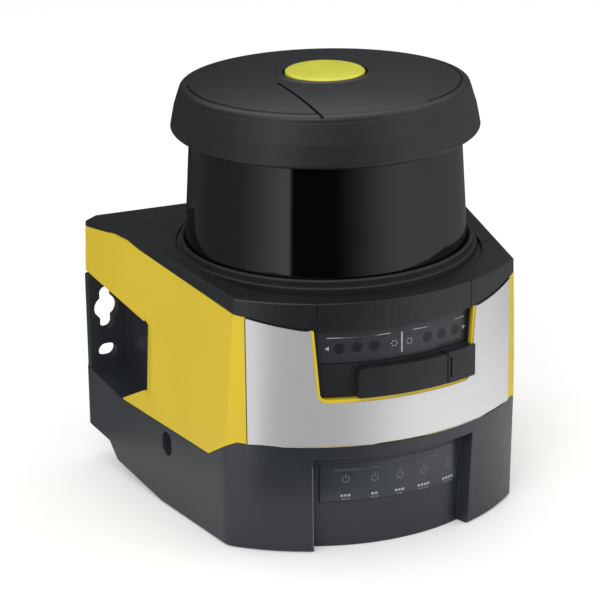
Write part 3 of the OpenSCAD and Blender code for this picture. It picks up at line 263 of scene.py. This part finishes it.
def makePane(name, s):
    f = Finish(name, IOR=1.5)
    f.feed("Base Color", mottled(f, s["first"], s["second"], 9))
    f.feed("Roughness", 0.16 + 0.08 * f.noise(3))
    f.relief(f.noise(5, 1), 0.004, 0.15)
    return f.material


# metals, boards and inner pieces

def makeMetal(name, colour, dark, roughness, grain, stretch=(1, 1, 1), depth=0.006):
    f = Finish(name, Metallic=1.0)
    f.feed("Base Color", mottled(f, colour, dark, 6))
    f.feed("Roughness", roughness + 0.14 * f.noise(grain * 4))
    f.relief(f.noise(grain, 3, stretch), depth, 0.2)
    return f.material


def makeBoard():
    f = Finish("circuitBoard", IOR=1.5)
    tracks = f.noise(1.1, 0, (1, 1, 0.1)).between(0.47, 0.53, 0.01)
    f.feed("Base Color", blend(tracks, tracks, shade(16, 74, 48), shade(38, 112, 66)))
    f.feed("Roughness", 0.32 + 0.12 * tracks)
    f.relief(tracks, 0.03, 0.1)
    return f.material


def makeRubber():
    f = Finish("sealRubber", IOR=1.5)
    f.feed("Base Color", mottled(f, shade(28, 28, 29), shade(22, 22, 23), 4))
    f.feed("Roughness", 0.68 + 0.14 * f.noise(1.1))
    f.relief(f.noise(0.3, 3), 0.02)
    return f.material


def makeLens():
    f = Finish("coatedLens", IOR=1.52)
    f.feed("Base Color", mottled(f, shade(120, 136, 150), shade(96, 110, 132), 12))
    f.feed("Roughness", 0.05 + 0.03 * f.noise(9))
    f.relief(f.noise(20, 1), 0.003)
    return f.material


def makeLamp():
    f = Finish("lampGuide", IOR=1.5)
    f.feed("Base Color", mottled(f, shade(206, 208, 210), shade(188, 190, 194), 2))
    f.feed("Roughness", 0.26 + 0.1 * f.noise(1))
    f.relief(f.noise(0.5, 2), 0.006, 0.1)
    return f.material


def makePrint(name, first, second):
    f = Finish(name, IOR=1.45)
    f.feed("Base Color", mottled(f, first, second, 0.8))
    f.feed("Roughness", 0.36 + 0.12 * f.noise(0.6))
    f.relief(f.noise(0.4, 2), 0.004)
    return f.material


finishes["yellow"] = makeCoat("yellowCoat", yellowCoat)
finishes["grey"] = makeCoat("greyPowderCoat", greyCoat)
finishes["charcoal"] = makeCoat("charcoalMoulding", charcoal)
finishes["black"] = makeCoat("blackMoulding", blackMoulding)
finishes["lemon"] = makeLemon(lemonDisc)
finishes["silver"] = makeSilver(silverFilm)
finishes["window"] = makeWindow(windowSet)
finishes["pane"] = makePane("smokedPane", displayPane)
finishes["lampPane"] = makePane("lampPane", lampPane)
finishes["steel"] = makeMetal("platedSteel", shade(176, 178, 182), shade(160, 162, 166), 0.24, 0.5)
finishes["aluminium"] = makeMetal("blastedAluminium", shade(168, 170, 174), shade(156, 158, 162), 0.42, 0.25,
                                  depth=0.015)
finishes["copper"] = makeMetal("varnishedCopper", shade(186, 112, 66), shade(166, 96, 54), 0.28, 0.4,
                               (1, 1, 4), 0.03)
finishes["mirror"] = makeMetal("mirrorFace", shade(232, 236, 238), shade(228, 232, 235), 0.02, 8, depth=0.001)
finishes["board"] = makeBoard()
finishes["rubber"] = makeRubber()
finishes["lens"] = makeLens()
finishes["lamp"] = makeLamp()
finishes["lightPrint"] = makePrint("lightPrint", shade(176, 179, 184), shade(162, 165, 170))
finishes["darkPrint"] = makePrint("darkPrint", shade(28, 29, 32), shade(25, 26, 29))
# grey print, also used for the painted highlight along the left edge of the lamp recess
finishes["greyPrintAndHighlight"] = makePrint("greyPrintAndHighlight", shade(104, 108, 115), shade(96, 100, 107))
# painted shade: a dark print laid in the seams beside the film and under the cover, where shade falls
finishes["seamShade"] = makePrint("seamShade", shade(26, 26, 28), shade(20, 20, 22))
print("finishes made:", len(finishes))

finishOf = {
    "yellow": ["housing"],
    "grey": ["connection_unit", "base_plate"],
    "charcoal": ["cap", "top_cover", "visor"],
    "black": ["window_ring", "display_carrier", "usb_cover", "display_module", "unit_plug", "unit_socket",
              "mirror_holder", "lens_barrel", "encoder_sensor", "monitor_sensors", "memory_module"],
    "lemon": ["cap_disc"],
    "silver": ["front_film"],
    "window": ["window"],
    "pane": ["display_window"],
    "lampPane": ["lamp_window"],
    "steel": ["usb_hinge_pin", "usb_socket", "board_spacers", "motor_bearings", "motor_rotor", "motor_shaft",
              "encoder_disc", "lock_tongues", "base_screws", "lock_screw_left", "lock_screw_right",
              "power_plug", "network_plugs"],
    "aluminium": ["floor_plate", "chassis", "motor_flange", "optics_bracket", "transmitter_tube"],
    "copper": ["motor_stator", "laser_diode", "flex_cable"],
    "mirror": ["scan_mirror"],
    "board": ["display_board", "main_board", "power_board", "receiver_board", "monitor_board",
              "interface_board", "lamp_board"],
    "rubber": ["cap_gasket", "window_gasket", "unit_seal", "pressure_vent"],
    "lens": ["receiver_lens", "collimator_lens"],
    "lamp": ["display_lamps", "signal_lamps"],
}


def coat(piece, finish):
    piece.data.materials.clear()
    piece.data.materials.append(finishes[finish])


for finish, names in finishOf.items():
    for name in names:
        coat(nodes[name], finish)
bare = set(nodes) - {name for names in finishOf.values() for name in names}
print("nodes coated, left over:", sorted(bare))


# printed marks on the curved front

frontCentre = 11.0          # millimetres behind the scan axis


def onFront(angle, height, radius):
    a = math.radians(angle)
    return Vector((radius * math.sin(a), frontCentre - radius * math.cos(a), height)) * mm


faceTrees = {}


def radiusAt(node, angle, height, radius, reach=4):
    # where a level line from the front meets a node's outer face, or the given radius where it misses
    if node not in faceTrees:
        data = nodes[node].data
        faceTrees[node] = BVHTree.FromPolygons([v.co for v in data.vertices],
                                               [p.vertices for p in data.polygons])
    axis = onFront(angle, height, 0)
    start = onFront(angle, height, radius + reach)
    hit = faceTrees[node].ray_cast(start, axis - start, 2 * reach * mm)[0]
    return (hit - axis).length / mm if hit else radius


def addMark(name, outline, radius, finish, thick=0.04, on=None):
    # outline is a closed loop of (angle, height); the mark is a thin curved plate,
    # laid on a node's face if one is given
    mesh = bmesh.new()
    radii = [radiusAt(on, a, z, radius) if on else radius for a, z in outline]
    front = [mesh.verts.new(onFront(a, z, r + thick)) for (a, z), r in zip(outline, radii)]
    back = [mesh.verts.new(onFront(a, z, r)) for (a, z), r in zip(outline, radii)]
    mesh.faces.new(front)
    mesh.faces.new(back[::-1])
    for k in range(len(outline)):
        n = (k + 1) % len(outline)
        mesh.faces.new((front[k], back[k], back[n], front[n]))
    bmesh.ops.recalc_face_normals(mesh, faces=mesh.faces)
    data = bpy.data.meshes.new(name)
    mesh.to_mesh(data)
    mesh.free()
    piece = bpy.data.objects.new(name, data)
    bpy.context.scene.collection.objects.link(piece)
    coat(piece, finish)
    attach(piece, "base")
    return piece


def bar(a0, a1, z0, z1, steps=24):
    # strip between two angles, with a run of points along each long side
    top = [(a0 + (a1 - a0) * k / steps, z1) for k in range(steps + 1)]
    foot = [(a, z0) for a, z in reversed(top)]
    return top + foot


def dot(angle, height, size, radius, sides=28):
    turn = 360 / sides
    spread = math.degrees(size / radius)
    turns = [math.radians(k * turn) for k in range(sides)]
    return [(angle + spread * math.sin(t), height + size * math.cos(t)) for t in turns]


# angles in degrees from straight ahead or, where it says so, from the middle line; other sizes in millimetres
displaySet = {
    "radius": 70.6,
    "middle": 0.9,                      # angle of the line between the two halves
    "middleLine": (0.22, -3.4, 3.6),    # half width as an angle, lower and upper end from the lamps' height
    "lampAngles": (7.7, 12.4, 17.2),    # from the middle
    "lampHeight": 71.8,
    "lampSize": 1.75,
    "lineHeight": 75.3,
    "lineEnds": (3.3, 20.4),            # from the middle
    "lineWidth": 0.28,
    "arrow": (21.0, 19.9, 0.75),        # tip and foot from the middle, half height
    "ring": (2.2, 0.95),                # centre from the middle, radius
    "ringPoints": 6,
    "pointSize": 0.22,
}


def dressDisplay(s):
    r, m, h = s["radius"], s["middle"], s["lampHeight"]
    half, low, high = s["middleLine"]
    addMark("displayDivider", bar(m - half, m + half, h + low, h + high, 2), r, "lightPrint")
    for side in (-1, 1):
        tag = "Left" if side < 0 else "Right"
        for k, a in enumerate(s["lampAngles"]):
            spot = dot(m + side * a, h, s["lampSize"], r)
            addMark("displayDot%s%d" % (tag, k + 1), spot, r, "darkPrint")
        a0, a1 = sorted(m + side * a for a in s["lineEnds"])
        line = bar(a0, a1, s["lineHeight"], s["lineHeight"] + s["lineWidth"])
        addMark("displayLine" + tag, line, r, "lightPrint")
        tip, foot, rise = s["arrow"]
        tip, foot = m + side * tip, m + side * foot
        arrow = [(tip, h), (foot, h + rise), (foot, h - rise)]
        addMark("displayArrow" + tag, arrow, r, "lightPrint")
        centre, size = s["ring"]
        for k in range(s["ringPoints"]):
            t = math.tau * k / s["ringPoints"]
            a = m + side * centre + math.degrees(size / r) * math.cos(t)
            point = dot(a, h + size * math.sin(t), s["pointSize"], r, 10)
            addMark("displayPoint%s%d" % (tag, k + 1), point, r, "lightPrint")


dressDisplay(displaySet)
print("display marked")


lampSet = {
    "radius": 67.7,
    "angles": (-14.3, -6.0, 1.6, 9.4, 18.1),
    "iconHeight": 24.6,
    "captionHeight": 18.7,
    "fall": 0.046,              # how much each row sinks, in millimetres for each degree to the right
    "captionFall": 0.4,         # share of it that the captions take
    "ring": 1.3,
    "ringWidth": 0.32,
    "ringGap": 35,              # half the open part at the top, in degrees
    "stem": (0.2, 2.0),         # lower and upper end from the ring's centre
    "bars": ((3, 3), (2, 3), (3, 2), (4, 4), (4, 4)),   # words in the two caption lines
    "wordHalf": (0.62, 0.5),    # half a word with its gap, in the first and the second line
    "wordGap": 0.35,
    "wordHeight": 0.76,
    "lineStep": 1.25,
    "front": 72.0,
    "rim": tuple((-23.53, z) for z in (30.9, 25, 20, 15, 10, 5, 1.4)),    # painted highlight: a grey strip where the left edge of the recess catches the light
    "rimHalf": 0.11,            # half its width, as an angle
    "panelLines": (28.0, 27.5),
    "panelEnds": (-17.4, 13.6),
    "panelWidth": 0.16,
}


def loopRing(angle, height, outer, inner, radius, start=0.0, end=360.0, steps=28):
    # part of a flat ring as one closed outline
    def place(size, t):
        return (angle + math.degrees(size * math.sin(t) / radius), height + size * math.cos(t))

    turns = [math.radians(start + (end - start) * k / steps) for k in range(steps + 1)]
    return [place(outer, t) for t in turns] + [place(inner, t) for t in reversed(turns)]


def dressLamps(s):
    r = s["radius"]
    wide = math.degrees(1 / r)      # one millimetre, as an angle
    thin = s["ringWidth"] / 2 * wide
    for k, angle in enumerate(s["angles"]):
        sink = s["fall"] * (angle - s["angles"][0])
        z = s["iconHeight"] - sink
        ring = loopRing(angle, z, s["ring"], s["ring"] - s["ringWidth"], r, s["ringGap"], 360 - s["ringGap"])
        addMark("lampRing%d" % (k + 1), ring, r, "greyPrintAndHighlight")
        stem = bar(angle - thin, angle + thin, z + s["stem"][0], z + s["stem"][1], 2)
        addMark("lampStem%d" % (k + 1), stem, r, "greyPrintAndHighlight")
        for line, words in enumerate(s["bars"][k]):
            z = s["captionHeight"] - sink * s["captionFall"] - s["lineStep"] * line
            half = s["wordHalf"][line] * words * wide
            for w in range(words):
                a0 = angle - half + 2 * half * w / words
                a1 = a0 + 2 * half / words - s["wordGap"] * wide
                word = bar(a0, a1, z - s["wordHeight"] / 2, z + s["wordHeight"] / 2, 3)
                addMark("lampBar%d%d%d" % (k + 1, line + 1, w + 1), word, r,
                        "greyPrintAndHighlight" if line else "lightPrint")
    # painted highlight: a thin grey strip along the lit left edge of the recess, laid on the connection unit's
    # face
    rim = [(a + side * s["rimHalf"], z) for side in (-1, 1) for a, z in s["rim"][::side]]
    addMark("recessEdgeHighlight", rim, s["front"], "greyPrintAndHighlight", 0.03, "connection_unit")
    for k, z in enumerate(s["panelLines"]):
        line = bar(*s["panelEnds"], z, z + s["panelWidth"])
        addMark("panelLine%d" % (k + 1), line, r, "greyPrintAndHighlight", 0.03)


dressLamps(lampSet)
print("lamps marked")


seamSet = {
    "front": 73.0,
    "gap": 0.01,                # between the front and a seam
    "film": 40.3,               # half angle of the film
    "open": 24.2,               # half angle of the display opening with its edge
    "foot": 38.52,
    "footWidth": 0.42,
    "footThick": 0.34,
    "sideWidth": 0.34,          # width of the painted shade in the seam beside the film, as an angle
    "coverWidth": (0.18, 0.12),     # painted shade in the seam under the cover, its width above and below the line
    "coverThick": 0.3,
    # line between shell and cover: distance behind the foremost point, and height
    "split": ((-5, 77.4), (7, 79.0), (17, 82.3), (21, 83.1)),
}


def splitHeight(angle, s):
    back = s["front"] * (1 - math.cos(math.radians(angle)))
    for (y0, z0), (y1, z1) in zip(s["split"], s["split"][1:]):
        if back <= y1:
            return z0 + (z1 - z0) * (back - y0) / (y1 - y0)
    return s["split"][-1][1]


def dressFilm(s):
    # painted shade in the seams beside the film and under the cover, and the film's turned-in foot
    r, film, foot = s["front"] + s["gap"], s["film"], s["foot"]
    strip = bar(-film, film, foot, foot + s["footWidth"], 60)
    addMark("filmFoot", strip, r, "silver", s["footThick"])
    up, down = s["coverWidth"]
    for side in (-1, 1):
        tag = "Left" if side < 0 else "Right"
        a0, a1 = sorted((side * film, side * (film + s["sideWidth"])))
        # painted shade: a dark strip in the seam beside the film
        seam = bar(a0, a1, foot + 0.1, splitHeight(film, s) - 0.05, 2)
        addMark("filmSeam" + tag, seam, r, "seamShade", 0.05)
        # painted shade: a dark strip in the seam under the cover, along the line between shell and cover
        angles = [side * (s["open"] + (film - s["open"]) * k / 24) for k in range(25)]
        upper = [(a, splitHeight(a, s) + up) for a in angles]
        lower = [(a, splitHeight(a, s) - down) for a in reversed(angles)]
        addMark("coverSeam" + tag, upper + lower, r, "seamShade", s["coverThick"])


dressFilm(seamSet)
print("seams laid")


# floor and studio

studioSet = {
    "floor": (0.92, 0.92, 0.92, 1),
    "lift": 0.22,           # light that the floor alone shows the camera
    "ambient": 0.60,
    "key": 8.0,
    "fill": 4.0,
    "top": 3.0,
}


def addStage(name, mesh, material):
    data = bpy.data.meshes.new(name)
    mesh.to_mesh(data)
    mesh.free()
    data.materials.append(material)
    made = bpy.data.objects.new(name, data)
    bpy.context.scene.collection.objects.link(made)
    return made


def addFloor(s):
    mesh = bmesh.new()
    bmesh.ops.create_grid(mesh, x_segments=1, y_segments=1, size=3)
    material = bpy.data.materials.new("studioFloor")
    material.use_nodes = True
    tree = material.node_tree
    shader = tree.nodes["Principled BSDF"]
    shader.inputs["Base Color"].default_value = s["floor"]
    shader.inputs["Roughness"].default_value = 1.0
    shader.inputs["Specular IOR Level"].default_value = 0.0
    shader.inputs["Emission Color"].default_value = (1, 1, 1, 1)
    path = Wire(tree).node("LightPath")
    seen = Wire(tree, path.socket.node.outputs["Is Camera Ray"])
    tree.links.new((seen * s["lift"]).socket, shader.inputs["Emission Strength"])
    floor = addStage("studioFloor", mesh, material)
    floor.location.z = -0.0002


wallSet = {
    # radius and height of its corners, in metres
    "outline": ((0.10, 0.0005), (0.28, 0.0005), (0.30, 0.02), (0.30, 0.34)),
    "near": 0.205,              # inside this radius the cards are brighter, by nearGain
    "nearGain": 1.8,
    # brightness round the object: degrees from straight ahead, minus to the left
    "tones": ((-180, 0.02), (-165, 0.06), (-150, 0.12), (-115, 0.17), (-90, 0.26), (-78, 0.44), (-67, 0.68),
              (-57, 0.90), (-50.5, 1.0), (-48.5, 0.0), (-16, 0.0), (-6, 0.11), (3, 0.25), (13, 0.46),
              (24, 0.68), (36, 0.80),
              (50, 0.72), (75, 0.50), (110, 0.22), (145, 0.08), (180, 0.02)),
}


def addWall(s):
    # pale cards and a dark gap round the object, which only its gloss shows
    mesh = bmesh.new()
    steps = 96
    rings = []
    for k in range(steps):
        a = math.tau * k / steps
        rings.append([mesh.verts.new((r * math.sin(a), -r * math.cos(a), z)) for r, z in s["outline"]])
    for k in range(steps):
        n = (k + 1) % steps
        for i in range(len(s["outline"]) - 1):
            mesh.faces.new((rings[k][i], rings[n][i], rings[n][i + 1], rings[k][i + 1]))
    material = bpy.data.materials.new("studioWall")
    material.use_nodes = True
    tree = material.node_tree
    tree.nodes.remove(tree.nodes["Principled BSDF"])
    root = Wire(tree)
    parts = root.node("SeparateXYZ", sockets={0: root.node("TexCoord", out=3)})
    x, y = (Wire(tree, out) for out in list(parts.socket.node.outputs)[:2])
    turn = x.math("ARCTAN2", -1 * y) / math.tau + 0.5
    ramps = []
    for gain in (1, s["nearGain"]):
        stops = [((angle + 180) / 360, (min(1, gain * tone),) * 3 + (1,)) for angle, tone in s["tones"]]
        ramps.append(turn.node("ValToRGB", {"stops": stops}, {0: turn}))
    close = x * x + y * y < s["near"] ** 2
    glow = turn.node("Emission", {}, {"Color": blend(turn, close, *ramps), "Strength": 1.0})
    tree.links.new(glow.socket, tree.nodes["Material Output"].inputs["Surface"])
    wall = addStage("studioWall", mesh, material)
    wall.visible_camera = False
    wall.visible_diffuse = False
    wall.visible_shadow = False
    wall.visible_transmission = False


def addLamp(name, place, size, power, aim=(0, 0, 0.07)):
    data = bpy.data.lights.new(name, "AREA")
    data.shape = "RECTANGLE"
    data.size, data.size_y = size
    data.energy = power
    lamp = bpy.data.objects.new(name, data)
    place = Vector(place)
    turn = (Vector(aim) - place).to_track_quat("-Z", "Y").to_matrix().to_4x4()
    lamp.matrix_world = Matrix.Translation(place) @ turn
    bpy.context.scene.collection.objects.link(lamp)
    return lamp


def addWorld(s):
    world = bpy.data.worlds.new("studioWorld")
    bpy.context.scene.world = world
    world.use_nodes = True
    tree = world.node_tree
    root = Wire(tree)
    path = root.node("LightPath")
    rays = path.socket.node.outputs
    seen = Wire(tree, rays["Is Camera Ray"]).math("MAXIMUM", Wire(tree, rays["Is Glossy Ray"]))
    seen = seen.math("MAXIMUM", Wire(tree, rays["Is Transmission Ray"]))
    tree.nodes["Background"].inputs["Color"].default_value = (1, 1, 1, 1)
    strength = s["ambient"] + (1 - s["ambient"]) * seen
    tree.links.new(strength.socket, tree.nodes["Background"].inputs["Strength"])


addFloor(studioSet)
addWall(wallSet)
addWorld(studioSet)
addLamp("keySoftbox", (-0.9, -0.9, 0.9), (0.9, 0.9), studioSet["key"])
addLamp("fillSoftbox", (1.1, -0.5, 0.6), (0.8, 1.0), studioSet["fill"])
addLamp("topSoftbox", (0.0, 0.3, 1.3), (1.0, 1.0), studioSet["top"])
print("studio lit")

bpy.context.view_layer.update()
